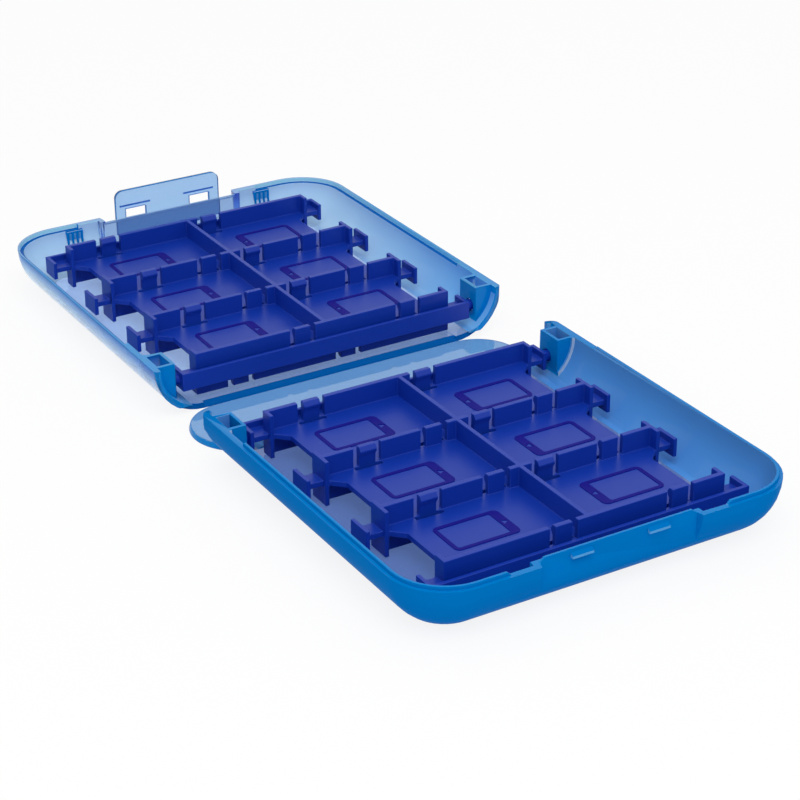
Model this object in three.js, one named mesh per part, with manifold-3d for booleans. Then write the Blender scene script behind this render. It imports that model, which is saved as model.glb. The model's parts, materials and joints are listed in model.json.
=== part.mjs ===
// Folding game card case, open flat: two rounded shells joined by a spine plate. Each shell holds a
// two-sided card tray that turns up like a page, and a flap with two windows snaps over two catches.
// Millimetres, +Z up. X runs along the spine and +Y points to the lid half. The origin is on the table,
// under the middle of the spine.
import * as THREE from "three";
import { mergeVertices } from "three/addons/utils/BufferGeometryUtils.js";
import Module from "manifold-3d";

const wasm = await Module();
wasm.setup();

// Cards and the cells of a tray
const CARD_LENGTH = 31.2;
const CARD_WIDTH = 21.6;
const CARD_END_PLAY = 0.3;
const CARD_SIDE_PLAY = 0.8;
const CELL_DEPTH = 4.4;
const CELL_ROWS = 3;
const DECK = 1.2;
const ROW_WALL = 1.2;
const DIVIDER = 1.0;
const FLANGE = 0.9;
const FLANGE_REACH = 2.8;

// Spring clips, cut free from the row walls by a slot on each side
const CLIP_WIDTH = 3.9;
const CLIP_SLOT = 1.3;
const INNER_CLIP = 3.9;
const OUTER_CLIP = 19.9;
const HOOK_REACH = 0.6;
const HOOK_FOOT = 2.6;
const HOOK_TIP = 3.6;
const HOOK_BEVEL = 4.1;
const HOOK_SLIT = 1.1;

// Tabs at the row ends, rails along the outer rows and finger notches in the deck
const TAB = 0.9;
const TAB_GAP = 3.5;
const TAB_HALF_HEIGHT = 2.1;
const TAB_HALF_LENGTH = 3.05;
const TAB_WEB = 4.0;
const RAIL = 0.9;
const RAIL_OFFSET = 3.0;
const CORNER_TAB_LENGTH = 5.3;
const NOTCH_DEPTH = 3.6;
const NOTCH_CHAMFER = 2.4;

// Tray pivots
const PIN_RADIUS = 1.3;
const PIN_CLEARANCE = 0.3;
const PIN_REACH = 3.2;
const PIVOT_INSET = 2.8;

// Shells
const WALL = 1.4;
const TRAY_FLOOR_GAP = 0.3;
const TRAY_TOP_GAP = 0.3;
const SIDE_ROOM = 6.0;
const LATCH_ROOM = 7.6;
const EDGE_DROP = 0.2;
const CORNER_EXTRA = 0.6;
const LIP_REACH = 0.85;
const LIP_FOOT = 1.9;
const HORN_TURN = 2.3;
const HORN_FOOT = 3.0;
const HORN_RISE = 5.5;
const HORN_RELIEF = 0.2;
const BLOCK_WALL = 0.8;
const BLOCK_GAP = 1.7;
const BLOCK_LENGTH = 7.0;
const BLOCK_FIN = 0.7;
const BLOCK_FIN_WIDTH = 0.5;

// Rim: a tongue on the base and a rabbet in the lid
const TONGUE_HEIGHT = 0.8;
const TONGUE_WIDTH = 0.7;
const RIM_CLEARANCE = 0.2;
const RIM_START = 28.5;
const TONGUE_GAP = 25;

// Spine plate and its hinge webs
const WEB = 0.4;
const WEB_REACH = 0.5;
const SPINE_THICKNESS = 1.5;
const SPINE_INSET = 3.2;
const SPINE_BEVEL = 1.4;
const SPINE_END_DRAFT = 0.2;
const TRAY_SPINE_GAP = 0.3;

// Latch flap, its recess, windows and catches
const RECESS_HALF = 18.2;
const RECESS_DEPTH = 1.5;
const RECESS_FLARE = 0.9;
const FLAP = 1.0;
const FLAP_HALF = 14.4;
const FLAP_FOOT = 6.7;
const FLAP_TOP = 18.3;
const FLAP_CORNER = 2.0;
const FLAP_RIB = 0.25;
const FLAP_RIB_WIDTH = 0.4;
const FLAP_RIB_LIFT = 0.5;
const FLAP_RIB_OVERHANG = 1.4;
const FLAP_WEB_HALF = 12.5;
const FLAP_WEB_OVERLAP = 0.4;
const CATCH_X = 8.9;
const CATCH_WIDTH = 4.9;
const CATCH_HEIGHT = 1.2;
const CATCH_REACH = 0.8;
const CATCH_BELOW_RIM = 0.65;
const LATCH_WALL_RISE = 0.9;
const LATCH_LIP_DROP = 0.3;
const WINDOW_PLAY = 0.35;
const WINDOW_ROOM = 0.95;

// Comb ribs inside the lid's latch wall
const COMB_X = 26.3;
const COMB_PITCH = 1.25;
const COMB_RIBS = 4;
const COMB_RIB = 0.6;
const COMB_REACH = 0.9;
const COMB_FOOT = 7.7;

// Facets
const ARC_STEPS = 10;
const PIN_SIDES = 14;
const PAST = 2;

// Sizes that follow from those above
const ROW_PITCH = CARD_WIDTH + CARD_SIDE_PLAY + ROW_WALL;
const ROWS_SPAN = CELL_ROWS * ROW_PITCH;
const HALF_ROW = DIVIDER / 2 + CARD_LENGTH + CARD_END_PLAY + FLANGE;
const TRAY_HALF_HEIGHT = CELL_DEPTH + DECK / 2;
const TAB_OUTER = HALF_ROW + TAB_GAP + TAB;
const TRAY_HALF_LENGTH = ROWS_SPAN / 2 + RAIL_OFFSET;
const HALF_DEPTH = WALL + TRAY_FLOOR_GAP + 2 * TRAY_HALF_HEIGHT + TRAY_TOP_GAP;
const TRAY_Z = WALL + TRAY_FLOOR_GAP + TRAY_HALF_HEIGHT;
const HINGE_Z = WEB / 2;
const HINGE_Y = HALF_DEPTH - HINGE_Z;
const SPINE_FACE_Y = HINGE_Y + SPINE_THICKNESS - HINGE_Z;
const TRAY_START_Y = SPINE_FACE_Y + TRAY_SPINE_GAP;
const TRAY_Y = TRAY_START_Y + TRAY_HALF_LENGTH;
const PIVOT_Y = TRAY_START_Y + PIVOT_INSET;
const SHELL_END_Y = HINGE_Y + WEB_REACH;
const SHELL_HALF = TAB_OUTER + SIDE_ROOM + WALL;
const LATCH_Y = TRAY_Y + TRAY_HALF_LENGTH + LATCH_ROOM + WALL;
const EDGE_RADIUS = HALF_DEPTH - EDGE_DROP;
const CORNER_RADIUS = EDGE_RADIUS + CORNER_EXTRA;
const RECESS_Y = LATCH_Y - RECESS_DEPTH;
const FLOOR_HALF = SHELL_HALF - EDGE_RADIUS;
const SPINE_HALF_WIDTH = HINGE_Y - WEB_REACH;
const SPINE_HALF_LENGTH = SHELL_HALF - SPINE_INSET;
const BLOCK_FACE_X = TAB_OUTER + BLOCK_GAP;
const LATCH_WALL_TOP = HALF_DEPTH + LATCH_WALL_RISE;
const CATCH_TOP = LATCH_WALL_TOP - CATCH_BELOW_RIM;
const RABBET_Z = HALF_DEPTH - TONGUE_HEIGHT - RIM_CLEARANCE;
const COMB_TOP = RABBET_Z;
const FLAP_FACE_Y = LATCH_Y - FLAP_RIB;
const FLAP_Y = FLAP_FACE_Y - FLAP;

// Closed geometry to a solid that can be joined and cut
function solid(geometry) {
  const bare = geometry.clone();
  bare.deleteAttribute("normal");
  bare.deleteAttribute("uv");
  const merged = mergeVertices(bare, 1e-5);
  const mesh = new wasm.Mesh({
    numProp: 3,
    vertProperties: new Float32Array(merged.attributes.position.array),
    triVerts: new Uint32Array(merged.index.array),
  });
  return new wasm.Manifold(mesh);
}

function geometryOf(body) {
  const { vertProperties, triVerts } = body.getMesh();
  const geometry = new THREE.BufferGeometry();
  geometry.setAttribute("position", new THREE.BufferAttribute(vertProperties, 3));
  geometry.setIndex(new THREE.BufferAttribute(triVerts, 1));
  geometry.computeVertexNormals();
  return geometry;
}

function box(x0, x1, y0, y1, z0, z1) {
  const geometry = new THREE.BoxGeometry(x1 - x0, y1 - y0, z1 - z0);
  geometry.translate((x0 + x1) / 2, (y0 + y1) / 2, (z0 + z1) / 2);
  return solid(geometry);
}

// Shape drawn in X and Y, raised from z0 to z1
function prismZ(shape, z0, z1) {
  const geometry = new THREE.ExtrudeGeometry(shape, {
    depth: z1 - z0,
    bevelEnabled: false,
    curveSegments: ARC_STEPS,
  });
  geometry.translate(0, 0, z0);
  return solid(geometry);
}

// Shape drawn in Y and Z, drawn out along X from x0 to x1
function prismX(shape, x0, x1) {
  const geometry = new THREE.ExtrudeGeometry(shape, {
    depth: x1 - x0,
    bevelEnabled: false,
    curveSegments: ARC_STEPS,
  });
  const turn = new THREE.Matrix4().makeBasis(
    new THREE.Vector3(0, 1, 0),
    new THREE.Vector3(0, 0, 1),
    new THREE.Vector3(1, 0, 0),
  );
  geometry.applyMatrix4(turn);
  geometry.translate(x0, 0, 0);
  return solid(geometry);
}

// Shape drawn in X and Z, drawn out along Y from y0 to y1
function prismY(shape, y0, y1) {
  const geometry = new THREE.ExtrudeGeometry(shape, {
    depth: y1 - y0,
    bevelEnabled: false,
    curveSegments: ARC_STEPS,
  });
  geometry.rotateX(Math.PI / 2);
  geometry.translate(0, y1, 0);
  return solid(geometry);
}

function polygon(points) {
  return new THREE.Shape(points.map(([a, b]) => new THREE.Vector2(a, b)));
}

function roundBar(radius, x0, x1, y, z) {
  const geometry = new THREE.CylinderGeometry(radius, radius, x1 - x0, PIN_SIDES);
  geometry.rotateZ(Math.PI / 2);
  geometry.translate((x0 + x1) / 2, y, z);
  return solid(geometry);
}

// Copy on the other side of X = 0
function mirrored(body) {
  const geometry = geometryOf(body).scale(-1, 1, 1);
  const index = geometry.index.array;
  for (let i = 0; i < index.length; i += 3) {
    [index[i], index[i + 1]] = [index[i + 1], index[i]];
  }
  return solid(geometry);
}

// Two distances from the middle, put on one side of it in rising order
function onSide(side, a, b) {
  return [side * a, side * b].sort((p, q) => p - q);
}

function joined(bodies) {
  return bodies.reduce((sum, body) => sum.add(body));
}

// Body through a stack of outlines that all have the same number of points, counted anticlockwise
function loft(rings) {
  const count = rings[0].points.length;
  const positions = rings.flatMap(({ z, points }) => points.flatMap((p) => [p.x, p.y, z]));
  const index = [];
  for (let ring = 0; ring + 1 < rings.length; ring += 1) {
    for (let i = 0; i < count; i += 1) {
      const a = ring * count + i;
      const b = ring * count + ((i + 1) % count);
      index.push(a, b, b + count, a, b + count, a + count);
    }
  }
  const last = (rings.length - 1) * count;
  for (let i = 1; i + 1 < count; i += 1) {
    index.push(0, i + 1, i, last, last + i, last + i + 1);
  }
  const geometry = new THREE.BufferGeometry();
  geometry.setAttribute("position", new THREE.Float32BufferAttribute(positions, 3));
  geometry.setIndex(index);
  return solid(geometry);
}

// Plan outline of a shell, drawn in by inset: flat at the hinge end, round at the two latch corners
function planPoints(inset, endY) {
  const half = SHELL_HALF - inset;
  const latch = LATCH_Y - inset;
  const radius = CORNER_RADIUS - inset;
  const points = [new THREE.Vector2(-half, endY), new THREE.Vector2(half, endY)];
  for (const [side, from] of [[1, 0], [-1, Math.PI / 2]]) {
    for (let step = 0; step <= ARC_STEPS; step += 1) {
      const angle = from + (step / ARC_STEPS) * (Math.PI / 2);
      const x = side * (half - radius) + radius * Math.cos(angle);
      points.push(new THREE.Vector2(x, latch - radius + radius * Math.sin(angle)));
    }
  }
  return points;
}

// Tub with a round bottom edge, lofted through plan outlines; skin is how far it lies inside the shell
function tub(skin, endY, topZ) {
  const radius = EDGE_RADIUS - skin;
  const rings = [];
  for (let step = 0; step <= ARC_STEPS; step += 1) {
    const angle = (1 - step / ARC_STEPS) * (Math.PI / 2);
    const inset = skin + radius * (1 - Math.cos(angle));
    rings.push({ z: skin + radius * (1 - Math.sin(angle)), points: planPoints(inset, endY) });
  }
  rings.push({ z: topZ, points: planPoints(skin, endY) });
  return loft(rings);
}

// Upright band that follows the rim, between two insets
function rimBand(outerInset, innerInset, z0, z1) {
  const outer = prismZ(new THREE.Shape(planPoints(outerInset, RIM_START)), z0, z1);
  const inner = prismZ(new THREE.Shape(planPoints(innerInset, RIM_START - PAST)), z0 - PAST, z1 + PAST);
  return outer.subtract(inner);
}

// Hollow block on a side wall that takes a tray pin, and what is cut out of it
function pivotBlock(side) {
  const y0 = TRAY_START_Y;
  const y1 = y0 + BLOCK_LENGTH;
  const [x0, x1] = onSide(side, BLOCK_FACE_X, SHELL_HALF);
  return box(x0, x1, y0, y1, WALL / 2, HALF_DEPTH).intersect(tub(0, SHELL_END_Y, HALF_DEPTH));
}

function pivotHollow(side) {
  const y0 = TRAY_START_Y + BLOCK_WALL;
  const y1 = TRAY_START_Y + BLOCK_LENGTH - BLOCK_WALL;
  const inner = BLOCK_FACE_X + BLOCK_WALL;
  const [x0, x1] = onSide(side, inner, SHELL_HALF - WALL - BLOCK_WALL / 2);
  const [b0, b1] = onSide(side, BLOCK_FACE_X - PAST, inner + PAST / 2);
  const top = HALF_DEPTH + PAST;
  const well = box(x0, x1, y0, y1, 0, top).intersect(tub(WALL, SHELL_END_Y - PAST, top));
  return well.add(roundBar(PIN_RADIUS + PIN_CLEARANCE, b0, b1, PIVOT_Y, TRAY_Z));
}

// Curved fin that runs down the side wall along the block's latch end
function blockFin(side) {
  const end = TRAY_START_Y + BLOCK_LENGTH;
  const [x0, x1] = onSide(side, BLOCK_FACE_X, SHELL_HALF);
  return box(x0, x1, end - BLOCK_WALL / 2, end + BLOCK_FIN_WIDTH, WALL / 2, HALF_DEPTH)
    .intersect(tub(0, SHELL_END_Y, HALF_DEPTH))
    .subtract(tub(WALL + BLOCK_FIN, SHELL_END_Y - PAST, HALF_DEPTH + PAST));
}

// Lips of the side walls, which run on past the floor's hinge edge and over the folded spine's ends
function wallLips() {
  const end = SHELL_END_Y - LIP_REACH;
  const root = SHELL_END_Y + WALL;
  const turnX = SHELL_HALF - LIP_REACH;
  const plan = new THREE.Shape();
  plan.moveTo(-SHELL_HALF, root);
  plan.absarc(-turnX, SHELL_END_Y, LIP_REACH, Math.PI, 1.5 * Math.PI, false);
  plan.absarc(turnX, SHELL_END_Y, LIP_REACH, 1.5 * Math.PI, 2 * Math.PI, false);
  plan.lineTo(SHELL_HALF, root);
  const walls = tub(0, end, HALF_DEPTH).subtract(tub(WALL, end - PAST, HALF_DEPTH + PAST));
  return walls.intersect(prismZ(plan, LIP_FOOT, HALF_DEPTH));
}

// Horn at the top of a side wall's hinge end on the base: the wall runs on further and turns in
function wallHorn(side) {
  const end = SHELL_END_Y - HORN_TURN;
  const root = SHELL_END_Y + WALL;
  const turnX = SHELL_HALF - HORN_TURN;
  const plan = new THREE.Shape();
  plan.moveTo(turnX, end);
  plan.absarc(turnX, SHELL_END_Y, HORN_TURN, -Math.PI / 2, 0, false);
  plan.lineTo(SHELL_HALF, root);
  plan.lineTo(SHELL_HALF - WALL, root);
  plan.absarc(turnX, SHELL_END_Y, HORN_TURN - WALL, 0, -Math.PI / 2, true);
  const profile = new THREE.Shape();
  profile.moveTo(root, HORN_FOOT);
  profile.lineTo(root, HALF_DEPTH);
  profile.lineTo(HINGE_Y, HALF_DEPTH);
  profile.lineTo(end, HALF_DEPTH - HORN_RELIEF);
  profile.absellipse(end, HORN_FOOT, HORN_TURN, HORN_RISE, Math.PI / 2, 0, true);
  const horn = prismZ(plan, 0, HALF_DEPTH + PAST)
    .intersect(prismX(profile, 0, SHELL_HALF + PAST))
    .intersect(tub(0, end - PAST, HALF_DEPTH + PAST));
  return side > 0 ? horn : mirrored(horn);
}

// Shell of one half, drawn on the +Y side with its outer face on the table
function shellBody() {
  const top = HALF_DEPTH + PAST;
  const thick = RECESS_HALF + WALL;
  const cavity = tub(WALL, SHELL_END_Y - PAST, top).subtract(
    box(-thick, thick, RECESS_Y - WALL, LATCH_Y + PAST, -PAST, top + PAST),
  );
  const recess = polygon([
    [-RECESS_HALF, RECESS_Y],
    [RECESS_HALF, RECESS_Y],
    [RECESS_HALF + RECESS_FLARE, LATCH_Y + PAST],
    [-RECESS_HALF - RECESS_FLARE, LATCH_Y + PAST],
  ]);
  let body = tub(0, SHELL_END_Y, HALF_DEPTH).subtract(cavity);
  body = body.subtract(prismZ(recess, -PAST, top));

  // The floor's hinge edge is bevelled down to the thin web
  const bevelTop = WALL + PAST;
  const bevel = polygon([
    [SHELL_END_Y - PAST, WEB],
    [SHELL_END_Y, WEB],
    [SHELL_END_Y + bevelTop - WEB, bevelTop],
    [SHELL_END_Y - PAST, bevelTop],
  ]);
  body = body.subtract(prismX(bevel, -FLOOR_HALF, FLOOR_HALF));
  body = body.add(wallLips());
  for (const side of [-1, 1]) {
    body = joined([body, pivotBlock(side), blockFin(side)]).subtract(pivotHollow(side));
  }
  return body;
}

// Ramp that a window of the flap snaps over
function snapCatch(x) {
  const ramp = polygon([
    [RECESS_Y - WALL / 2, CATCH_TOP - CATCH_HEIGHT],
    [RECESS_Y + CATCH_REACH, CATCH_TOP - CATCH_HEIGHT],
    [RECESS_Y + CATCH_REACH, CATCH_TOP - CATCH_HEIGHT / 2],
    [RECESS_Y, CATCH_TOP],
    [RECESS_Y - WALL / 2, CATCH_TOP],
  ]);
  return prismX(ramp, x - CATCH_WIDTH / 2, x + CATCH_WIDTH / 2);
}

function baseShell() {
  const tongueTop = HALF_DEPTH + TONGUE_HEIGHT;
  const gapTop = TONGUE_GAP + TONGUE_HEIGHT + PAST;
  const gap = polygon([
    [-TONGUE_GAP, 0],
    [TONGUE_GAP, 0],
    [TONGUE_GAP, HALF_DEPTH],
    [gapTop, tongueTop + PAST],
    [-gapTop, tongueTop + PAST],
    [-TONGUE_GAP, HALF_DEPTH],
  ]);
  const band = rimBand(WALL - TONGUE_WIDTH, WALL, HALF_DEPTH - WALL / 2, tongueTop);
  const tongue = band.subtract(prismY(gap, LATCH_Y - CORNER_RADIUS, LATCH_Y + PAST));
  const foot = RECESS_HALF - RIM_CLEARANCE;
  const head = foot - LATCH_WALL_RISE;
  const raised = polygon([
    [-foot, HALF_DEPTH - WALL],
    [foot, HALF_DEPTH - WALL],
    [foot, HALF_DEPTH],
    [head, LATCH_WALL_TOP],
    [-head, LATCH_WALL_TOP],
    [-foot, HALF_DEPTH],
  ]);
  const latchWall = prismY(raised, RECESS_Y - TONGUE_WIDTH, RECESS_Y);
  const horns = wallHorn(-1).add(wallHorn(1));
  return joined([shellBody(), horns, tongue, latchWall, snapCatch(-CATCH_X), snapCatch(CATCH_X)]);
}

// Comb of short ribs under a bar, on the inner face of the lid's latch wall
function comb(x) {
  const y1 = LATCH_Y - WALL / 2;
  const y0 = LATCH_Y - WALL - COMB_REACH;
  const half = ((COMB_RIBS - 1) * COMB_PITCH + COMB_RIB) / 2;
  const pieces = [box(x - half, x + half, y0, y1, COMB_TOP - COMB_RIB, COMB_TOP)];
  for (let rib = 0; rib < COMB_RIBS; rib += 1) {
    const x0 = x - half + rib * COMB_PITCH;
    pieces.push(box(x0, x0 + COMB_RIB, y0, y1, COMB_FOOT, COMB_TOP));
  }
  return joined(pieces);
}

function lidShell() {
  const rabbetInset = WALL - TONGUE_WIDTH - RIM_CLEARANCE;
  let rabbet = rimBand(rabbetInset, WALL + PAST / 2, RABBET_Z, HALF_DEPTH + PAST);
  rabbet = rabbet.subtract(
    box(-TONGUE_GAP, TONGUE_GAP, LATCH_Y - CORNER_RADIUS, LATCH_Y + PAST, 0, HALF_DEPTH + 2 * PAST),
  );
  const latchTop = 2 * HALF_DEPTH - LATCH_WALL_TOP - RIM_CLEARANCE;
  const top = HALF_DEPTH + PAST;
  const lipTop = HALF_DEPTH - LATCH_LIP_DROP;
  const lipY = RECESS_Y - TONGUE_WIDTH - RIM_CLEARANCE;
  const lip = box(-RECESS_HALF, RECESS_HALF, RECESS_Y - 2 * WALL, LATCH_Y, lipTop, top);
  const groove = box(-RECESS_HALF, RECESS_HALF, lipY, LATCH_Y, latchTop, top);
  const body = joined([shellBody(), comb(-COMB_X), comb(COMB_X)]);
  return body.subtract(rabbet).subtract(lip).subtract(groove);
}

// Flat plate with round ends. Its long edges are bevelled so that it folds into the shells' ends.
function spinePlate() {
  const outline = (radius, tip) => {
    const shape = new THREE.Shape();
    shape.absarc(tip - radius, 0, radius, -Math.PI / 2, Math.PI / 2, false);
    shape.absarc(radius - tip, 0, radius, Math.PI / 2, (3 * Math.PI) / 2, false);
    return shape.getPoints(ARC_STEPS * 2);
  };
  const lower = outline(SPINE_HALF_WIDTH, SPINE_HALF_LENGTH);
  const upper = outline(SPINE_HALF_WIDTH - SPINE_BEVEL, SPINE_HALF_LENGTH - SPINE_END_DRAFT);
  return loft([
    { z: 0, points: lower },
    { z: WEB, points: lower },
    { z: SPINE_THICKNESS, points: upper },
  ]);
}

// Thin web between a shell's floor and the spine plate
function hingeWeb() {
  const half = SPINE_HALF_LENGTH - SPINE_HALF_WIDTH;
  return box(-half, half, SPINE_HALF_WIDTH, SHELL_END_Y, 0, WEB);
}

function flapOutline() {
  const turnX = FLAP_HALF - FLAP_CORNER;
  const turnZ = FLAP_TOP - FLAP_CORNER;
  const shape = new THREE.Shape();
  shape.moveTo(-FLAP_HALF, FLAP_FOOT);
  shape.lineTo(FLAP_HALF, FLAP_FOOT);
  shape.absarc(turnX, turnZ, FLAP_CORNER, 0, Math.PI / 2, false);
  shape.absarc(-turnX, turnZ, FLAP_CORNER, Math.PI / 2, Math.PI, false);
  return shape;
}

// Flap with a window for each catch and a fine rib above each window
function latchFlap() {
  const windowTop = 2 * HALF_DEPTH - CATCH_TOP + CATCH_HEIGHT + WINDOW_PLAY;
  const windowFoot = 2 * HALF_DEPTH - CATCH_TOP - WINDOW_ROOM;
  const windowHalf = CATCH_WIDTH / 2 + WINDOW_PLAY;
  const ribHalf = windowHalf + FLAP_RIB_OVERHANG;
  const rib0 = windowTop + FLAP_RIB_LIFT;
  const rib1 = rib0 + FLAP_RIB_WIDTH;
  let body = prismY(flapOutline(), FLAP_Y, FLAP_FACE_Y);
  for (const x of [-CATCH_X, CATCH_X]) {
    const [x0, x1] = [x - windowHalf, x + windowHalf];
    body = body.subtract(box(x0, x1, FLAP_Y - PAST, LATCH_Y + PAST, windowFoot, windowTop));
    body = body.add(box(x - ribHalf, x + ribHalf, FLAP_Y + FLAP / 2, LATCH_Y, rib0, rib1));
  }
  return body;
}

function latchWeb() {
  const y1 = FLAP_Y + FLAP_WEB_OVERLAP;
  return box(-FLAP_WEB_HALF, FLAP_WEB_HALF, RECESS_Y, y1, FLAP_FOOT - WEB, FLAP_FOOT);
}

// The clips of one row wall on a tray's upper side. Rows count from the hinge. hook is the side of the
// wall that the clip's hook stands on: -1 towards the hinge, 1 towards the latch.
function rowClips(row) {
  const clips = [];
  if (row > 0) {
    clips.push({ u: -OUTER_CLIP - CLIP_WIDTH, hook: -1 }, { u: INNER_CLIP, hook: -1 });
  }
  if (row < CELL_ROWS) {
    clips.push({ u: -INNER_CLIP - CLIP_WIDTH, hook: 1 }, { u: OUTER_CLIP, hook: 1 });
  }
  return clips;
}

function clipBody(u, v, hook) {
  const half = ROW_WALL / 2;
  const face = v + hook * half;
  const tip = v + hook * (half + HOOK_REACH);
  const back = v - hook * half;
  const top = TRAY_HALF_HEIGHT;
  const points = [
    [back, 0],
    [face, 0],
    [face, HOOK_FOOT],
    [tip, HOOK_TIP],
    [tip, HOOK_BEVEL],
    [face, top],
    [back, top],
  ];
  return prismX(polygon(hook > 0 ? points : points.reverse()), u, u + CLIP_WIDTH);
}

// Everything of a tray that stands above its deck, about the tray's own centre
function trayUpperSide() {
  const walls = [box(-DIVIDER / 2, DIVIDER / 2, -ROWS_SPAN / 2, ROWS_SPAN / 2, 0, TRAY_HALF_HEIGHT)];
  const slots = [];
  const clips = [];
  for (let row = 0; row <= CELL_ROWS; row += 1) {
    const v = -ROWS_SPAN / 2 + row * ROW_PITCH;
    const half = ROW_WALL / 2;
    walls.push(box(-HALF_ROW, HALF_ROW, v - half, v + half, 0, TRAY_HALF_HEIGHT));
    const v0 = row > 0 ? v - FLANGE_REACH : v - half;
    const v1 = row < CELL_ROWS ? v + FLANGE_REACH : v + half;
    walls.push(box(-HALF_ROW, -HALF_ROW + FLANGE, v0, v1, 0, TRAY_HALF_HEIGHT));
    walls.push(box(HALF_ROW - FLANGE, HALF_ROW, v0, v1, 0, TRAY_HALF_HEIGHT));
    for (const { u, hook } of rowClips(row)) {
      const [s0, s1] = [u - CLIP_SLOT, u + CLIP_WIDTH + CLIP_SLOT];
      slots.push(box(s0, s1, v - ROW_WALL, v + ROW_WALL, DECK / 2, TRAY_HALF_HEIGHT + PAST));
      clips.push(clipBody(u, v, hook));
    }
  }
  return joined(walls).subtract(joined(slots)).add(joined(clips));
}

// The deck with its finger notches, the ledges and rails outside the outer rows, and the end tabs
function trayDeck() {
  const half = DECK / 2;
  const end = TRAY_HALF_LENGTH;
  const ledge = ROWS_SPAN / 2;
  const pieces = [box(-HALF_ROW, HALF_ROW, -ledge, ledge, -half, half)];
  for (const side of [-1, 1]) {
    const [l0, l1] = onSide(side, ledge - ROW_WALL / 2, end);
    const [r0, r1] = onSide(side, end - RAIL, end);
    pieces.push(box(-TAB_OUTER, TAB_OUTER, l0, l1, -half, half));
    pieces.push(box(-TAB_OUTER, TAB_OUTER, r0, r1, -TAB_HALF_HEIGHT, TAB_HALF_HEIGHT));
    const [t0, t1] = onSide(side, TAB_OUTER - TAB, TAB_OUTER);
    const [w0, w1] = onSide(side, HALF_ROW - FLANGE, TAB_OUTER);
    for (let row = 0; row <= CELL_ROWS; row += 1) {
      const v = -ROWS_SPAN / 2 + row * ROW_PITCH;
      const v0 = row > 0 ? v - TAB_HALF_LENGTH : -end;
      const v1 = row < CELL_ROWS ? v + TAB_HALF_LENGTH : end;
      const first = row === CELL_ROWS ? end - CORNER_TAB_LENGTH : v0;
      const past = row === 0 ? -end + CORNER_TAB_LENGTH : v1;
      pieces.push(box(t0, t1, first, past, -TAB_HALF_HEIGHT, TAB_HALF_HEIGHT));
      pieces.push(box(w0, w1, v - TAB_WEB / 2, v + TAB_WEB / 2, -half, half));
    }
  }
  return joined(pieces);
}

function fingerNotch(side, cell) {
  const v = -ROWS_SPAN / 2 + (cell + 0.5) * ROW_PITCH;
  const open = ROW_PITCH / 2 - FLANGE_REACH;
  const outer = side * (HALF_ROW + PAST);
  const inner = side * (HALF_ROW - NOTCH_DEPTH);
  const lip = side * (HALF_ROW - NOTCH_DEPTH + NOTCH_CHAMFER);
  const points = [[outer, v - open], [outer, v + open], [lip, v + open]];
  points.push([inner, v + open - NOTCH_CHAMFER], [inner, v - open + NOTCH_CHAMFER], [lip, v - open]);
  return prismZ(polygon(side > 0 ? points : points.reverse()), -DECK, DECK);
}

// Slits through the deck under the hooks, as wide as a clip with its two slots
function hookSlits() {
  const slits = [];
  for (let row = 0; row <= CELL_ROWS; row += 1) {
    const v = -ROWS_SPAN / 2 + row * ROW_PITCH;
    for (const { u, hook } of rowClips(row)) {
      const [v0, v1] = onSide(hook, ROW_WALL / 2, ROW_WALL / 2 + HOOK_SLIT);
      slits.push(box(u - CLIP_SLOT, u + CLIP_WIDTH + CLIP_SLOT, v + v0, v + v1, -DECK, DECK));
    }
  }
  return joined(slits);
}

// Card tray about its own centre. Its underside is its upper side turned over about X.
function cardTray() {
  const upper = trayUpperSide();
  const lower = solid(geometryOf(upper).rotateX(Math.PI));
  const notches = [];
  for (const side of [-1, 1]) {
    for (let cell = 0; cell < CELL_ROWS; cell += 1) {
      notches.push(fingerNotch(side, cell));
    }
  }
  const deck = trayDeck().subtract(joined(notches)).subtract(hookSlits());
  const pinV = -TRAY_HALF_LENGTH + PIVOT_INSET;
  const pins = [-1, 1].map((side) => {
    const [x0, x1] = onSide(side, TAB_OUTER - TAB, TAB_OUTER + PIN_REACH);
    return roundBar(PIN_RADIUS, x0, x1, pinV, 0);
  });
  return joined([deck, upper, lower, ...pins]);
}

function plastic(color, roughness, opacity) {
  return new THREE.MeshStandardMaterial({
    color,
    roughness,
    metalness: 0,
    opacity,
    transparent: opacity < 1,
  });
}

const CLEAR_BLUE = [0x2f86cf, 0.12, 0.55];
const DEEP_BLUE = [0x17258c, 0.38, 1];

function piece(name, body, finish) {
  const mesh = new THREE.Mesh(geometryOf(body), plastic(...finish));
  mesh.name = name;
  return mesh;
}

// One half: its shell, its tray on two pins and its web to the spine
function caseHalf(prefix, shell) {
  const half = new THREE.Group();
  const tray = piece(`${prefix}_tray`, cardTray(), DEEP_BLUE);
  tray.position.set(0, TRAY_Y, TRAY_Z);
  half.add(piece(`${prefix}_shell`, shell, CLEAR_BLUE));
  half.add(tray);
  half.add(piece(`${prefix}_hinge_web`, hingeWeb(), CLEAR_BLUE));
  return half;
}

const cardCase = new THREE.Group();
const lidHalf = caseHalf("lid", lidShell());
lidHalf.add(piece("latch_flap", latchFlap(), CLEAR_BLUE));
lidHalf.add(piece("latch_hinge_web", latchWeb(), CLEAR_BLUE));
const baseHalf = caseHalf("base", baseShell());
baseHalf.rotation.z = Math.PI;
cardCase.add(baseHalf, lidHalf, piece("spine_plate", spinePlate(), CLEAR_BLUE));

export default cardCase;
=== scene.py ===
# %% [markdown]
# # A folding game card case
# The case is a clamshell of clear blue plastic that lies open and flat. Each half holds a deep blue tray
# that takes six small game cards on each of its two faces and turns up like a page. The halves are joined
# by a spine plate and two living hinges, and a flap with two windows keeps the closed case shut.
#
# The measured CAD model is loaded first. It is the frame that everything here has to fit.

import json
import math

import bpy
from mathutils import Matrix, Vector

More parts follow.
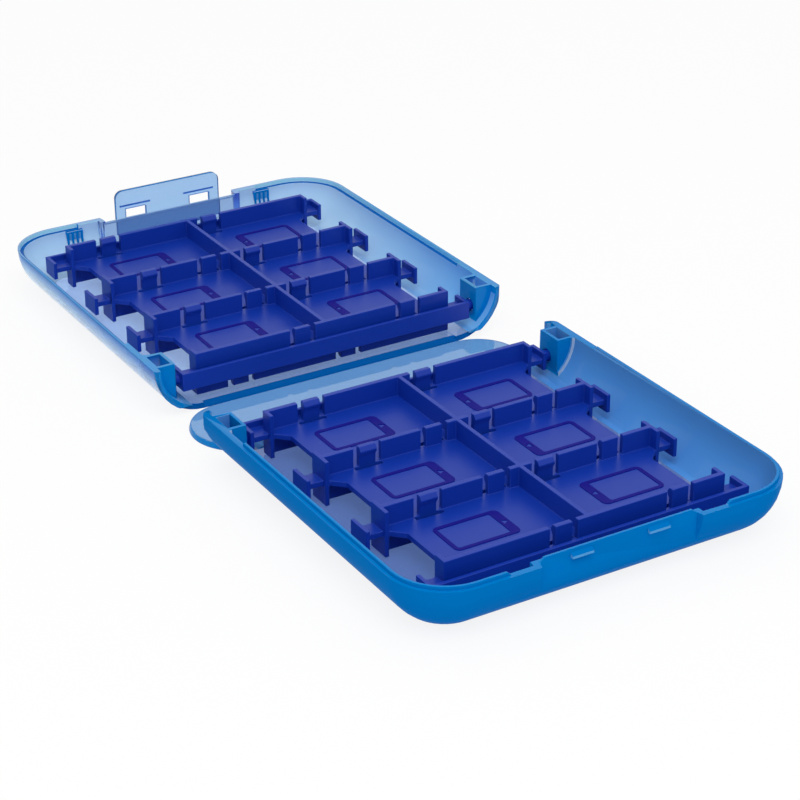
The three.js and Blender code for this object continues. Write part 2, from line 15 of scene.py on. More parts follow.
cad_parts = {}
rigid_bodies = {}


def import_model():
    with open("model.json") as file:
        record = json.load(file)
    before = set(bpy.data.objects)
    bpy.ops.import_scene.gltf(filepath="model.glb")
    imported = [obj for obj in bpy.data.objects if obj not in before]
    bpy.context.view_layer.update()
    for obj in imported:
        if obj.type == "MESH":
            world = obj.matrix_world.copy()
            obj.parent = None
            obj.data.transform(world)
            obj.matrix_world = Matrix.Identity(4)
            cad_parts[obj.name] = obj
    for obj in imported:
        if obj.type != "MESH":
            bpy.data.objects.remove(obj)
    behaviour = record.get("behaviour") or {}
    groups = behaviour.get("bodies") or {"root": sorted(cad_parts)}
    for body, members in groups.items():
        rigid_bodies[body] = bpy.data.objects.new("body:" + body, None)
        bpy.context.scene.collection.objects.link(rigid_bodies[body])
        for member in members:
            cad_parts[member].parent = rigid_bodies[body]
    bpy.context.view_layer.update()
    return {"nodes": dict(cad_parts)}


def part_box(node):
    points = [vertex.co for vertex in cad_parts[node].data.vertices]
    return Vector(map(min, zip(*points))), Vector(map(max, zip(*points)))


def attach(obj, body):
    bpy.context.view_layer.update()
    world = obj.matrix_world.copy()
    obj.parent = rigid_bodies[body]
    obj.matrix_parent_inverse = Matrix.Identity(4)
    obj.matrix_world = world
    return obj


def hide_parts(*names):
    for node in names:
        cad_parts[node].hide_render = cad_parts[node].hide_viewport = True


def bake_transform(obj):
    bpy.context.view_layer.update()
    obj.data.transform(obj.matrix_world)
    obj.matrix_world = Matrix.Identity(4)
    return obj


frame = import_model()
MM = 0.001
for name in sorted(frame["nodes"]):
    low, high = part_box(name)
    print(name, [round(v / MM, 1) for v in high - low], "mm")

# %% [markdown]
# ## Moulded edges
# No edge of a moulded part is perfectly sharp. A small rounding lets the plastic leave the mould, and it
# is what catches the light along every rim. The pieces here start as copies of the CAD nodes: the loose
# triangles are merged, the flat areas become single faces, and each sharp edge gets a narrow bevel. A
# short edge has no room for one, so it stays sharp with its neighbours.

# %% A copy of a CAD node with its sharp edges selected
MERGE = 0.004
FLAT = math.radians(1)
SHARP = math.radians(33)


def only(piece):
    bpy.ops.object.select_all(action="DESELECT")
    piece.select_set(True)
    bpy.context.view_layer.objects.active = piece


def sharp_copy(node, name):
    only(frame["nodes"][node])
    bpy.ops.object.duplicate()
    piece = bpy.context.object
    bpy.ops.object.parent_clear(type="CLEAR_KEEP_TRANSFORM")
    piece.name = piece.data.name = name
    bpy.ops.object.mode_set(mode="EDIT")
    bpy.ops.mesh.select_mode(type="EDGE")
    bpy.ops.mesh.select_all(action="SELECT")
    bpy.ops.mesh.remove_doubles(threshold=MERGE * MM)
    bpy.ops.mesh.dissolve_limited(angle_limit=FLAT)
    bpy.ops.mesh.select_all(action="DESELECT")
    bpy.ops.mesh.edges_select_sharp(sharpness=SHARP)
    bpy.ops.object.mode_set(mode="OBJECT")
    return piece


# %% Leave out the edges with no room
ROOM = 2.5


def keep_roomy_edges(piece, rounding):
    points = [vertex.co for vertex in piece.data.vertices]
    cramped = set()
    for edge in piece.data.edges:
        a, b = edge.vertices
        if (points[a] - points[b]).length < ROOM * rounding * MM:
            cramped.update((a, b))
    kept = 0
    for edge in piece.data.edges:
        if edge.select:
            edge.select = not cramped.intersection(edge.vertices)
            kept += edge.select
    return kept


# %% [markdown]
# At a pointed corner a bevel can shoot out of the piece. Such stray points are found by their distance
# from the CAD surface, and a Shrinkwrap modifier pulls them back onto it. The curved walls are shaded
# smooth at the end, with normals that follow the large faces and not the narrow bevels.

# %% Bevel, pull back and shade smooth
STRAY = 0.15


def apply(piece, kind, **settings):
    only(piece)
    modifier = piece.modifiers.new(kind.lower(), kind)
    for key, value in settings.items():
        setattr(modifier, key, value)
    bpy.ops.object.modifier_apply(modifier=modifier.name)


def pull_back(piece, source):
    stray = piece.vertex_groups.new(name="stray")
    for vertex in piece.data.vertices:
        found, place, normal, index = source.closest_point_on_mesh(vertex.co)
        if (vertex.co - place).length > STRAY * MM:
            stray.add([vertex.index], 1, "REPLACE")
    apply(piece, "SHRINKWRAP", target=source, vertex_group=stray.name)
    piece.vertex_groups.clear()


def moulded(node, name, rounding):
    piece = sharp_copy(node, name)
    rounded = keep_roomy_edges(piece, rounding)
    bpy.ops.object.mode_set(mode="EDIT")
    bpy.ops.mesh.bevel(offset=rounding * MM, segments=2, affect="EDGES", clamp_overlap=False)
    bpy.ops.object.mode_set(mode="OBJECT")
    pull_back(piece, frame["nodes"][node])
    bpy.ops.object.shade_smooth_by_angle(angle=SHARP)
    apply(piece, "WEIGHTED_NORMAL", weight=100)
    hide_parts(node)
    print(name, "has", len(piece.data.polygons), "faces and", rounded, "rounded edges")
    return piece


# %% [markdown]
# ## The clear halves, the spine plate and the flap
# The two shells are shallow tubs with a wide rounding from the wall to the floor. The spine plate lies
# on the table between them with its round ends sticking out. The flap stands up in a recess of the lid.

# %% The clear pieces
base_half = moulded("base_shell", "base_half", 0.12)
lid_half = moulded("lid_shell", "lid_half", 0.12)
spine = moulded("spine_plate", "spine", 0.18)
flap = moulded("latch_flap", "flap", 0.08)
for piece, body in ((base_half, "base"), (lid_half, "lid"), (spine, "spine"), (flap, "latch")):
    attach(piece, body)

# %% [markdown]
# ## The card trays
# A tray has a thin deck in the middle of its height, with row walls and spring clips on both faces. Two
# pins at its spine end sit in the hollow blocks of the shell.

# %% The trays
base_cards = moulded("base_tray", "base_cards", 0.14)
lid_cards = moulded("lid_tray", "lid_cards", 0.14)
for piece, body in ((base_cards, "base_tray"), (lid_cards, "lid_tray")):
    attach(piece, body)

# %% [markdown]
# ## Living hinges
# A living hinge is a strip of the same plastic, so thin that it folds without breaking. The CAD webs are
# plain strips. Here each strip is a grid with rows across the fold, given its thickness by a Solidify
# modifier.

# %% The three strips
FOLD_ROWS = 10


def living_hinge(node, name):
    low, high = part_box(node)
    size = high - low
    middle = (low + high) / 2
    upright = size.z > size.y
    across = size.z if upright else size.y
    bpy.ops.object.select_all(action="DESELECT")
    bpy.ops.mesh.primitive_grid_add(x_subdivisions=1, y_subdivisions=FOLD_ROWS, size=1, location=(0, 0, 0))
    strip = bpy.context.object
    strip.name = strip.data.name = name
    bpy.ops.object.mode_set(mode="EDIT")
    bpy.ops.mesh.select_all(action="SELECT")
    bpy.ops.transform.resize(value=(size.x, across, 1))
    if upright:
        bpy.ops.transform.rotate(value=math.pi / 2, orient_axis="X", center_override=(0, 0, 0))
    bpy.ops.transform.translate(value=middle)
    bpy.ops.object.mode_set(mode="OBJECT")
    apply(strip, "SOLIDIFY", thickness=size.y if upright else size.z, offset=0)
    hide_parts(node)
    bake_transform(strip)
    print(name, [round(v / MM, 2) for v in size], "mm")
    return strip


base_fold = living_hinge("base_hinge_web", "base_fold")
lid_fold = living_hinge("lid_hinge_web", "lid_fold")
flap_fold = living_hinge("latch_hinge_web", "flap_fold")

# %% [markdown]
# ## Comb webs
# The ribs of the two combs inside the lid stand on a solid root, and only their lower ends are free. Such
# a root is a small cut in the mould. Here it is a low plate in each gap between two ribs. One plate is made
# from a cube with rounded edges, and each gap gets a copy.

# %% One plate
GAP = 0.6
WEB_Y = (96.95, 97.4)
WEB_Z = (8.6, 10.3)
WEB_ROUNDING = 0.08


def comb_plate():
    bpy.ops.object.select_all(action="DESELECT")
    bpy.ops.mesh.primitive_cube_add(size=1, location=(0, 0, 0))
    plate = bpy.context.object
    bpy.ops.object.mode_set(mode="EDIT")
    bpy.ops.mesh.select_all(action="SELECT")
    bpy.ops.transform.resize(value=Vector((GAP, WEB_Y[1] - WEB_Y[0], WEB_Z[1] - WEB_Z[0])) * MM)
    bpy.ops.mesh.bevel(offset=WEB_ROUNDING * MM, segments=2, affect="EDGES")
    bpy.ops.object.mode_set(mode="OBJECT")
    bpy.ops.object.shade_smooth_by_angle(angle=SHARP)
    return plate


# %% Plates between the ribs
COMB_MIDDLE = 26.3
RIB_PITCH = 1.25


def joined(pieces, name):
    bpy.ops.object.select_all(action="DESELECT")
    for piece in pieces:
        piece.select_set(True)
    bpy.context.view_layer.objects.active = pieces[0]
    bpy.ops.object.join()
    bpy.ops.object.transform_apply(location=True, rotation=True, scale=True)
    whole = bpy.context.object
    whole.name = whole.data.name = name
    print(name, "has", len(whole.data.polygons), "faces in", len(pieces), "copies")
    return whole


def comb_webs():
    first = comb_plate()
    plates = []
    for side in (-1, 1):
        for step in (-1, 0, 1):
            only(first)
            bpy.ops.object.duplicate()
            x = side * COMB_MIDDLE + step * RIB_PITCH
            bpy.context.object.location = Vector((x, sum(WEB_Y) / 2, sum(WEB_Z) / 2)) * MM
            plates.append(bpy.context.object)
    bpy.data.objects.remove(first)
    webs = joined(plates, "comb_webs")
    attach(webs, "lid")
    return webs


webs = comb_webs()

# %% [markdown]
# ## Card signs
# Each cell carries a sign that shows how a card lies in it: the outline of a card with a broad band at
# the end by the divider and a small arrow in the band. The sign stands a hair above the deck. One sign is
# made from a plane with rounded corners. Its middle is taken out, and a three-sided cylinder cuts the
# arrow.

# %% One sign
SIGN_LENGTH = 15.0
SIGN_WIDTH = 9.8
SIGN_LINE = 0.9
SIGN_BAND = 2.1
SIGN_CORNER = 1.3
SIGN_HEIGHT = 0.12
ARROW = 0.95
CUT_DEPTH = 2.0


def one_sign():
    bpy.ops.object.select_all(action="DESELECT")
    bpy.ops.mesh.primitive_plane_add(size=1, location=(0, 0, 0))
    sign = bpy.context.object
    bpy.ops.object.mode_set(mode="EDIT")
    bpy.ops.mesh.select_all(action="SELECT")
    bpy.ops.transform.resize(value=(SIGN_LENGTH * MM, SIGN_WIDTH * MM, 1))
    bpy.ops.mesh.bevel(offset=SIGN_CORNER * MM, segments=5, affect="VERTICES")
    bpy.ops.mesh.inset(thickness=SIGN_LINE * MM)
    band = SIGN_BAND - SIGN_LINE
    opening = SIGN_LENGTH - 2 * SIGN_LINE
    bpy.ops.transform.resize(value=((opening - band) / opening, 1, 1))
    bpy.ops.transform.translate(value=(band / 2 * MM, 0, 0))
    bpy.ops.mesh.delete(type="FACE")
    bpy.ops.object.mode_set(mode="OBJECT")
    apply(sign, "SOLIDIFY", thickness=SIGN_HEIGHT * MM, offset=1)
    bpy.ops.mesh.primitive_cylinder_add(
        vertices=3,
        radius=ARROW * MM,
        depth=CUT_DEPTH * MM,
        location=((SIGN_BAND - SIGN_LENGTH) / 2 * MM, 0, 0),
        rotation=(0, 0, math.pi / 2),
    )
    arrow = bpy.context.object
    apply(sign, "BOOLEAN", operation="DIFFERENCE", object=arrow, solver="EXACT")
    bpy.data.objects.remove(arrow)
    return sign


# %% [markdown]
# The signs of a tray are copies of that one. The right column keeps it as it is, the left column takes it
# turned half round, and the lower face of the tray takes all six turned over.

# %% Signs on both faces of both trays
ROW_PITCH = 23.6
SIGN_X = 17.3
SIGN_Y = 0.7
DECK_TOP = 0.6


def tray_signs(node, name):
    low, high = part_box(node)
    middle = (low + high) / 2
    first = one_sign()
    copies = []
    for row in (-1, 0, 1):
        for turn, x in ((0, SIGN_X), (math.pi, -SIGN_X)):
            for flip, z in ((0, DECK_TOP), (math.pi, -DECK_TOP)):
                only(first)
                bpy.ops.object.duplicate()
                sign = bpy.context.object
                sign.matrix_world = (
                    Matrix.Translation(middle + Vector((x, row * ROW_PITCH + SIGN_Y, z)) * MM)
                    @ Matrix.Rotation(turn, 4, "Z")
                    @ Matrix.Rotation(flip, 4, "X")
                )
                copies.append(sign)
    bpy.data.objects.remove(first)
    return joined(copies, name)


base_signs = tray_signs("base_tray", "base_signs")
lid_signs = tray_signs("lid_tray", "lid_signs")
for piece, body in ((base_signs, "base_tray"), (lid_signs, "lid_tray")):
    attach(piece, body)

# %% [markdown]
# ## Mould finish
# Polished steel leaves a glossy skin with faint flow marks, and a spark eroded mould leaves a fine grain.
# One node group gives both: a fine noise for the grain and a broad noise for the flow of the plastic. It
# hands out a roughness, a height for the bump and a mask for small changes of colour.

# %% The shared node group
FINISH_INPUTS = {"Roughness": 0.3, "Spread": 0.1, "Grain": 3000.0, "Flow": 60.0}
FLOW_DETAIL = 3


def make_finish():
    group = bpy.data.node_groups.new("mould_finish", "ShaderNodeTree")
    for name, default in FINISH_INPUTS.items():
        socket = group.interface.new_socket(name, in_out="INPUT", socket_type="NodeSocketFloat")
        socket.default_value = default
    for name in ("Roughness", "Height", "Flow"):
        group.interface.new_socket(name, in_out="OUTPUT", socket_type="NodeSocketFloat")
    nodes, links = group.nodes, group.links
    given = nodes.new("NodeGroupInput")
    result = nodes.new("NodeGroupOutput")
    place = nodes.new("ShaderNodeTexCoord")
    grain = nodes.new("ShaderNodeTexNoise")
    flow = nodes.new("ShaderNodeTexNoise")
    flow.inputs["Detail"].default_value = FLOW_DETAIL
    for noise, scale in ((grain, "Grain"), (flow, "Flow")):
        links.new(place.outputs["Object"], noise.inputs["Vector"])
        links.new(given.outputs[scale], noise.inputs["Scale"])
    centred = nodes.new("ShaderNodeMath")
    centred.operation = "SUBTRACT"
    centred.inputs[1].default_value = 0.5
    links.new(flow.outputs["Fac"], centred.inputs[0])
    rough = nodes.new("ShaderNodeMath")
    rough.operation = "MULTIPLY_ADD"
    links.new(centred.outputs[0], rough.inputs[0])
    links.new(given.outputs["Spread"], rough.inputs[1])
    links.new(given.outputs["Roughness"], rough.inputs[2])
    links.new(rough.outputs[0], result.inputs["Roughness"])
    links.new(grain.outputs["Fac"], result.inputs["Height"])
    links.new(flow.outputs["Fac"], result.inputs["Flow"])
    return group


finish = make_finish()
print(finish.name, "has", len(finish.nodes), "nodes")

# %% [markdown]
# Each material takes that group with its own values. Some parts of the case also change colour along one
# direction, and several of these fades are painted light and shade. A fade mixes a second colour in between
# two places on an axis, measured in the case's own coordinates, so it stays with the part when it moves.

# %% Putting the finish into a material
RELIEF = 0.02


def start_material(name):
    material = bpy.data.materials.new(name)
    material.use_nodes = True
    nodes, links = material.node_tree.nodes, material.node_tree.links
    return material, nodes, links, nodes["Principled BSDF"], nodes["Material Output"]


def add_fade(nodes, links, colour, fade):
    axis, start, end, far_colour = fade
    place = nodes.new("ShaderNodeTexCoord")
    split = nodes.new("ShaderNodeSeparateXYZ")
    share = nodes.new("ShaderNodeMapRange")
    share.inputs["From Min"].default_value = start * MM
    share.inputs["From Max"].default_value = end * MM
    blend = nodes.new("ShaderNodeMix")
    blend.data_type = "RGBA"
    blend.inputs[7].default_value = (*far_colour, 1)
    links.new(place.outputs["Object"], split.inputs["Vector"])
    links.new(split.outputs[axis], share.inputs["Value"])
    links.new(share.outputs["Result"], blend.inputs[0])
    links.new(colour, blend.inputs[6])
    return blend.outputs[2]


def add_finish(nodes, links, shader, colours, roughness, spread, grain, bump, fade=None):
    skin = nodes.new("ShaderNodeGroup")
    skin.node_tree = finish
    skin.inputs["Roughness"].default_value = roughness
    skin.inputs["Spread"].default_value = spread
    skin.inputs["Grain"].default_value = grain
    links.new(skin.outputs["Roughness"], shader.inputs["Roughness"])
    relief = nodes.new("ShaderNodeBump")
    relief.inputs["Strength"].default_value = bump
    relief.inputs["Distance"].default_value = RELIEF * MM
    links.new(skin.outputs["Height"], relief.inputs["Height"])
    links.new(relief.outputs["Normal"], shader.inputs["Normal"])
    tone = nodes.new("ShaderNodeMix")
    tone.data_type = "RGBA"
    tone.inputs[6].default_value = (*colours[0], 1)
    tone.inputs[7].default_value = (*colours[1], 1)
    links.new(skin.outputs["Flow"], tone.inputs[0])
    colour = add_fade(nodes, links, tone.outputs[2], fade) if fade else tone.outputs[2]
    links.new(colour, shader.inputs["Base Color"])


# %% [markdown]
# ## Clear blue plastic
# The plastic is clear, and its blue comes from the depth of material that the light crosses. So the shader
# is glass with an absorbing inside. Lamps are let through by a tinted Transparent shader, because light
# bent by glass would hardly reach the trays. A part that looks milky transmits less, and a part with soft
# reflections gets a low index of refraction.

# %% The clear shader
DEPTH_BLUE = (0.1, 0.5, 0.93)
PALER = 1.08
CLEAR_SPREAD = 0.04
CLEAR_GRAIN = 900
CLEAR_BUMP = 0.04


def clear_plastic(name, tint, density, transmission, ior, roughness, lamp_tint, fade=None):
    material, nodes, links, shader, output = start_material(name)
    shader.inputs["IOR"].default_value = ior
    shader.inputs["Transmission Weight"].default_value = transmission
    paler = tuple(min(1.0, PALER * v) for v in tint)
    add_finish(nodes, links, shader, (tint, paler), roughness, CLEAR_SPREAD, CLEAR_GRAIN, CLEAR_BUMP, fade)
    path = nodes.new("ShaderNodeLightPath")
    through = nodes.new("ShaderNodeBsdfTransparent")
    through.inputs["Color"].default_value = (*lamp_tint, 1)
    mix = nodes.new("ShaderNodeMixShader")
    links.new(path.outputs["Is Shadow Ray"], mix.inputs["Fac"])
    links.new(shader.outputs["BSDF"], mix.inputs[1])
    links.new(through.outputs["BSDF"], mix.inputs[2])
    links.new(mix.outputs["Shader"], output.inputs["Surface"])
    absorb = nodes.new("ShaderNodeVolumeAbsorption")
    absorb.inputs["Color"].default_value = (*DEPTH_BLUE, 1)
    absorb.inputs["Density"].default_value = density
    links.new(absorb.outputs["Volume"], output.inputs["Volume"])
    print(name, "lets through", transmission, "with absorption", density)
    return material


# %% [markdown]
# The base is the denser half: a satin skin outside that hides what is behind it, and a paler inside. Its
# floor is a clear sheet over the table.

# %% Base materials
PASS = (0.8, 0.9, 0.98)
SKIN_PASS = (0.6, 0.8, 0.95)
base_skin = clear_plastic("base_skin", (0.0, 0.155, 0.48), 250, 0.0, 1.02, 0.3, SKIN_PASS)
base_inner = clear_plastic("base_inner", (0.11, 0.4, 0.88), 250, 0.35, 1.2, 0.1, SKIN_PASS)
base_floor = clear_plastic("base_floor", (0.17, 0.26, 0.55), 120, 0.8, 1.4, 0.05, PASS)

# %% [markdown]
# The lid is thin and pale. Its outer skin is blue only along the rim and fades down to a pale foot, which
# is painted light from the white table below; its inner walls get paler towards the latch end, and its
# floor is brighter past the shadow of the hinge.

# %% Lid materials
# The pale foot of the lid's skin is painted light from the white table below.
FOOT_TABLE_LIGHT = ("Z", 11.6, 8.0, (0.72, 0.9, 1.0))
LIT_FLOOR = ("Y", 16.0, 24.0, (0.56, 0.72, 1.0))
FAR_END = ("Y", 20.0, 90.0, (0.58, 0.82, 1.0))
lid_skin = clear_plastic("lid_skin", (0.01, 0.26, 0.7), 60, 0.65, 1.15, 0.05, PASS, FOOT_TABLE_LIGHT)
lid_wall = clear_plastic("lid_wall", (0.14, 0.43, 0.86), 60, 0.35, 1.2, 0.1, PASS, FAR_END)
lid_recess = clear_plastic("lid_recess", (0.37, 0.53, 0.78), 120, 0.85, 1.4, 0.04, PASS)
lid_floor = clear_plastic("lid_floor", (0.27, 0.38, 0.62), 120, 0.85, 1.4, 0.04, PASS, LIT_FLOOR)

# %% [markdown]
# The flap is almost clear, and darker at the foot where it stands in its recess, a painted shade for the
# shadow that lies behind it. The spine plate is the glossiest part and mirrors the lid's tray.

# %% Flap and spine materials
# The darker foot of the flap is painted shade.
FLAP_FOOT_SHADE = ("Z", 10.8, 10.6, (0.26, 0.43, 0.66))
flap_clear = clear_plastic("flap_clear", (0.45, 0.65, 0.88), 200, 0.92, 1.4, 0.04, PASS, FLAP_FOOT_SHADE)
spine_clear = clear_plastic("spine_clear", (0.18, 0.41, 0.7), 120, 0.6, 1.8, 0.02, PASS)

# %% [markdown]
# Edges, rims and hinges show the plastic end on. The hinge bands are the deepest blue, the rims and the
# small ribs are brighter, and the thin fins by the pivot blocks wear a pale painted highlight. The lid's
# rim changes towards the latch end, and the inside of its lip is a painted light, paler still towards that
# end.

# %% Edge materials
BACK_RIM = ("Y", 75.0, 97.0, (0.36, 0.56, 0.82))
BACK_LIP_LIGHT = ("Y", 50.0, 97.0, (0.5, 0.96, 1.0))
edge_clear = clear_plastic("edge_clear", (0.0, 0.24, 0.66), 120, 0.2, 1.2, 0.1, PASS)
hinge_clear = clear_plastic("hinge_clear", (0.0, 0.12, 0.44), 120, 0.2, 1.1, 0.1, PASS)
rim_clear = clear_plastic("rim_clear", (0.09, 0.38, 0.74), 120, 0.3, 1.15, 0.1, PASS, BACK_RIM)
# The inside of the lid's lip wears a paler plastic that fades paler still towards the latch end, a painted
# light on faces that lie in shade.
lip_painted_light = clear_plastic("lip_painted_light", (0.18, 0.64, 0.92), 60, 0.3, 1.15, 0.1, PASS, BACK_LIP_LIGHT)
bright_edge = clear_plastic("bright_edge", (0.09, 0.36, 0.74), 120, 0.2, 1.15, 0.1, PASS)
# The fins by the pivot blocks take a pale material, a painted highlight.
fin_painted_highlight = clear_plastic("fin_painted_highlight", (0.55, 0.72, 0.92), 120, 0.2, 1.3, 0.1, PASS)

# %% [markdown]
# The spine plate is modelled level, because the hinges hold it flat on the table. In the photo it mirrors
# the edge of the lid's tray as if it leaned a little towards the base. So the lean is put into the shading
# alone, with a bump whose height grows evenly along Y, and the plate keeps its true shape.

# %% Leaning spine plate
LEAN = math.radians(6.8)


def add_lean(material):
    nodes, links = material.node_tree.nodes, material.node_tree.links
    place = nodes.new("ShaderNodeTexCoord")
    split = nodes.new("ShaderNodeSeparateXYZ")
    height = nodes.new("ShaderNodeMath")
    height.operation = "MULTIPLY"
    height.inputs[1].default_value = math.tan(LEAN)
    slope = nodes.new("ShaderNodeBump")
    slope.inputs["Distance"].default_value = 1.0
    links.new(place.outputs["Object"], split.inputs["Vector"])
    links.new(split.outputs["Y"], height.inputs[0])
    links.new(height.outputs[0], slope.inputs["Height"])
    links.new(slope.outputs["Normal"], nodes["Bump"].inputs["Normal"])
    print(material.name, "leans by", round(math.degrees(LEAN), 1), "degrees")


add_lean(spine_clear)

# %% [markdown]
# ## Which face wears which plastic
# A sheet of tinted plastic looks deepest at its edges, where the eye looks along the sheet and not through
# it. Each face is probed with a ray into the plastic: where it travels far, the face is an edge and takes
# the deep blue. So do the bevels at the hinges, the lid's side lips, the pivot blocks and the combs, where
# several walls lie behind each other.

# %% Faces that look thick
PROBE = 0.01
EDGE_DEPTH = 2.4
FACING = 0.5
HINGE_BAND = 13.6
SIDE_LIP_X = 40.0
SIDE_LIP_Y = 12.4
BLOCK_X = (38.5, 39.6, 43.4)
BLOCK_Y = (20.2, 20.6)
COMB_X = (24.0, 28.6)
COMB_Y = (96.8, 97.7)


def thick_looking(face, piece):
    start = face.center - face.normal * PROBE * MM
    hit, place, normal, index = piece.ray_cast(start, -face.normal)
    if hit and (place - start).length > EDGE_DEPTH * MM:
        return True
    x, y = abs(face.center.x) / MM, abs(face.center.y) / MM
    hinge = y < HINGE_BAND and face.normal.y * face.center.y < -0.3 * abs(face.center.y)
    side_lip = y < SIDE_LIP_Y and x > SIDE_LIP_X and face.center.y > 0
    block_side = BLOCK_X[0] < x < BLOCK_X[1] and y < BLOCK_Y[1] and abs(face.normal.x) > FACING
    in_block_end = BLOCK_X[0] < x < BLOCK_X[2] and BLOCK_Y[0] < y < BLOCK_Y[1]
    block_end = in_block_end and abs(face.normal.y) > FACING
    comb = COMB_X[0] < x < COMB_X[1] and COMB_Y[0] < y < COMB_Y[1] and face.normal.z < 0.1
    return hinge or side_lip or block_side or block_end or comb


# %% [markdown]
# Some details are told by their place. On the base these are the latch wall with the bright sides of its
# catches, and the horns at the hinge end. On the lid they are the recess of the flap, the ledge under the
# rim, the rim's top and the inside of its lip.

# %% Details of the base and the lid
WALL, SKIN, EDGE, FLOOR, RIM, PAINTED_HIGHLIGHT, RECESS, HINGE, PAINTED_LIGHT_LIP = range(9)
RECESS_X = 20.0
RECESS_FACE = 97.6
CATCH_X = 12.0
CATCH_Y = 97.8
CATCH_Z = 8.0
CATCH_SIDE = 0.3
HORN_X = 42.2
HORN_Y = 12.5
HORN_Z = 10.8
RECESS_Y = 95.5
RECESS_Z = 6.0
LEDGE = 11.0
LEDGE_BAND = 0.1
LIP_Z = 11.3


def base_detail(face, x, y, z):
    if y > RECESS_FACE and x < RECESS_X:
        at_catch = x < CATCH_X and y > CATCH_Y and z > CATCH_Z
        return RIM if at_catch and face.normal.z < CATCH_SIDE else SKIN
    if x > HORN_X and y < HORN_Y and z > HORN_Z:
        return SKIN
    return None


def lid_detail(face, y, z, outward):
    upward = face.normal.z > FACING
    reach = max(abs(lid_half.data.vertices[index].co.x) for index in face.vertices) / MM
    if reach < RECESS_X and y > RECESS_Y and z > RECESS_Z:
        return RIM if upward else RECESS
    if z > LEDGE - LEDGE_BAND and upward:
        return HINGE if z < LEDGE + LEDGE_BAND else RIM
    # The inside of the lip takes a paler plastic, a painted light on faces in shade.
    if z > LIP_Z and not outward:
        return PAINTED_LIGHT_LIP
    return None


# %% [markdown]
# Every other face is a floor, an outer skin or an inner wall. A face is outside where it looks away from
# the middle of its tub.

# %% The kind of each face
FIN_END = 21.1
FLAP_FACE = 98.97
FLOOR_TOP = 2.0
LEVEL = 0.9


def part_of_shell(face, piece, middle):
    x, y, z = abs(face.center.x) / MM, abs(face.center.y) / MM, face.center.z / MM
    outward = face.normal.dot(middle - face.center) < 0
    kind = None
    # Faces of the fins by the pivot blocks take the painted highlight.
    if BLOCK_Y[1] < y < FIN_END and x > BLOCK_X[0] and abs(face.normal.y) > FACING:
        kind = PAINTED_HIGHLIGHT
    elif piece == base_half:
        kind = base_detail(face, x, y, z)
    elif piece == lid_half:
        kind = lid_detail(face, y, z, outward)
    elif piece == flap and y > FLAP_FACE:
        kind = RIM
    if kind is not None:
        return kind
    if thick_looking(face, piece):
        at_hinge = z < FLOOR_TOP and x < SIDE_LIP_X and piece in (base_half, lid_half)
        return HINGE if at_hinge else EDGE
    if abs(face.normal.z) > LEVEL and z < FLOOR_TOP:
        return FLOOR
    return SKIN if outward else WALL


# %% Dress the clear pieces
def wear(material, *pieces):
    for piece in pieces:
        piece.data.materials.clear()
        piece.data.materials.append(material)


def dress(piece, *materials):
    wear(materials[0], piece)
    for material in materials[1:]:
        piece.data.materials.append(material)
    low, high = Vector(piece.bound_box[0]), Vector(piece.bound_box[6])
    counts = [0] * len(materials)
    for face in piece.data.polygons:
        face.material_index = part_of_shell(face, piece, (low + high) / 2)
        counts[face.material_index] += 1
    print(piece.name, "has", counts, "faces of its materials")


base_sheets = (base_inner, base_skin, edge_clear, base_floor)
base_details = (bright_edge, fin_painted_highlight, base_inner, hinge_clear)
lid_sheets = (lid_wall, lid_skin, edge_clear, lid_floor)
lid_details = (rim_clear, fin_painted_highlight, lid_recess, hinge_clear, lip_painted_light)
dress(base_half, *base_sheets, *base_details)
dress(lid_half, *lid_sheets, *lid_details)
dress(flap, flap_clear, flap_clear, edge_clear, flap_clear, bright_edge)
dress(spine, spine_clear, spine_clear, edge_clear, spine_clear)
wear(hinge_clear, base_fold, lid_fold)
wear(edge_clear, flap_fold)
wear(bright_edge, webs)

# %% [markdown]
# ## Deep blue plastic
# The trays are opaque and satin. Their decks look paler than their walls, because they mirror the bright
# room at a low angle. The signs are a darker and smoother blue.

# %% Tray materials
TRAY_IOR = 1.5
TRAY_SPREAD = 0.1
TRAY_GRAIN = 3500


def solid_plastic(name, colours, roughness, shine, bump):
    material, nodes, links, shader, output = start_material(name)
    shader.inputs["IOR"].default_value = TRAY_IOR
    shader.inputs["Specular IOR Level"].default_value = shine
    add_finish(nodes, links, shader, colours, roughness, TRAY_SPREAD, TRAY_GRAIN, bump)
    print(name, "has a roughness of", roughness)
    return material


tray_blue = solid_plastic("tray_blue", ((0.003, 0.032, 0.34), (0.005, 0.038, 0.37)), 0.36, 0.25, 0.12)
sign_blue = solid_plastic("sign_blue", ((0.004, 0.003, 0.20), (0.006, 0.004, 0.23)), 0.5, 0.08, 0.05)
wear(tray_blue, base_cards, lid_cards)
wear(sign_blue, base_signs, lid_signs)

# %% [markdown]
# ## Studio
# The case lies on a white table in a white room. The table shows itself almost evenly white to the camera,
# in mirrors and through the clear plastic, and keeps a faint shadow.

# %% Table
TABLE_SIZE = 6.0
TABLE_DROP = 0.02
TABLE_WHITE = 0.93
TABLE_GLOW = 0.86


def seen_directly(nodes, links):
    path = nodes.new("ShaderNodeLightPath")
    total = path.outputs["Is Camera Ray"]
    for name in ("Is Glossy Ray", "Is Transmission Ray"):
        more = nodes.new("ShaderNodeMath")
        more.operation = "MAXIMUM"
        links.new(total, more.inputs[0])
        links.new(path.outputs[name], more.inputs[1])
        total = more.outputs[0]
    return total


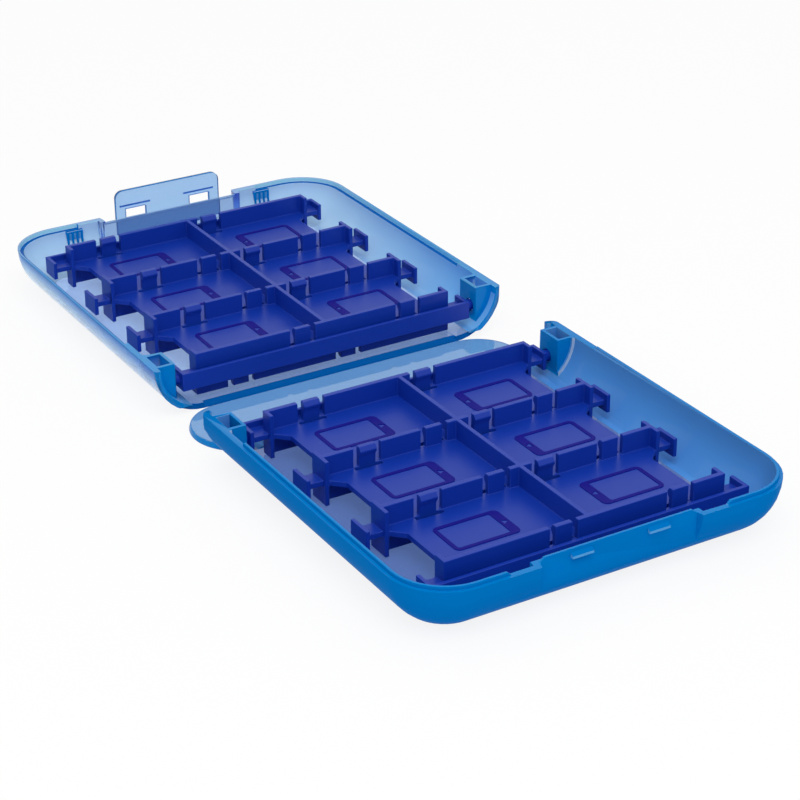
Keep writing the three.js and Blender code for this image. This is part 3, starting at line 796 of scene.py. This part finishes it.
bpy.ops.object.select_all(action="DESELECT")
bpy.ops.mesh.primitive_plane_add(size=TABLE_SIZE, location=(0, 0, -TABLE_DROP * MM))
table = bpy.context.object
table.name = "table"
white, nodes, links, shader, output = start_material("white_table")
shader.inputs["Base Color"].default_value = (TABLE_WHITE, TABLE_WHITE, TABLE_WHITE, 1)
shader.inputs["Roughness"].default_value = 0.9
shader.inputs["Specular IOR Level"].default_value = 0.0
glow = nodes.new("ShaderNodeEmission")
glow.inputs["Strength"].default_value = 1.0
share = nodes.new("ShaderNodeMath")
share.operation = "MULTIPLY"
share.inputs[1].default_value = TABLE_GLOW
links.new(seen_directly(nodes, links), share.inputs[0])
mix = nodes.new("ShaderNodeMixShader")
links.new(share.outputs[0], mix.inputs["Fac"])
links.new(shader.outputs["BSDF"], mix.inputs[1])
links.new(glow.outputs["Emission"], mix.inputs[2])
links.new(mix.outputs["Shader"], output.inputs["Surface"])
wear(white, table)
print("table is", TABLE_SIZE, "m wide")

# %% [markdown]
# The room lights the case evenly from all sides and shows as plain white where it is seen. A broad lamp
# above the left shoulder gives the forms some direction.

# %% Room and lamp
ROOM_LIGHT = 0.7
ROOM_SEEN = 1.0
LAMP_PLACE = (-0.15, -0.42, 0.75)
LAMP_SIZE = 0.6
LAMP_POWER = 3.0

world = bpy.data.worlds.new("white_room")
bpy.context.scene.world = world
world.use_nodes = True
nodes, links = world.node_tree.nodes, world.node_tree.links
room = nodes["Background"]
room.inputs["Color"].default_value = (1, 1, 1, 1)
level = nodes.new("ShaderNodeMath")
level.operation = "MULTIPLY_ADD"
level.inputs[1].default_value = ROOM_SEEN - ROOM_LIGHT
level.inputs[2].default_value = ROOM_LIGHT
links.new(seen_directly(nodes, links), level.inputs[0])
links.new(level.outputs[0], room.inputs["Strength"])

bpy.ops.object.light_add(type="AREA", location=LAMP_PLACE)
lamp = bpy.context.object
lamp.name = "soft_lamp"
lamp.data.shape = "DISK"
lamp.data.size = LAMP_SIZE
lamp.data.energy = LAMP_POWER
lamp.rotation_euler = (-lamp.location).to_track_quat("-Z", "Y").to_euler()
print("lamp hangs", round(lamp.location.length, 2), "m from the case")

# %% [markdown]
# ## Camera
# The photo was taken from the front left, about 27 degrees above the table. The lens and the place were
# found by fitting the row walls of the trays to their places in the photo.

# %% Camera at the photo's angle
TARGET = Vector((-5.725, -26.618, 11.7)) * MM
EYE = Vector((-221.75, -388.19, 225.23)) * MM
ROLL = math.radians(-0.189)
LENS = 100.5
SENSOR = 36

bpy.ops.object.camera_add(location=EYE)
camera = bpy.context.object
look = (TARGET - EYE).to_track_quat("-Z", "Y").to_matrix().to_4x4()
camera.matrix_world = Matrix.Translation(EYE) @ look @ Matrix.Rotation(ROLL, 4, "Z")
camera.data.lens = LENS
camera.data.sensor_width = SENSOR
bpy.context.scene.camera = camera
bpy.context.scene.view_settings.view_transform = "Standard"
print("camera stands", round((TARGET - EYE).length / MM), "mm from its target")
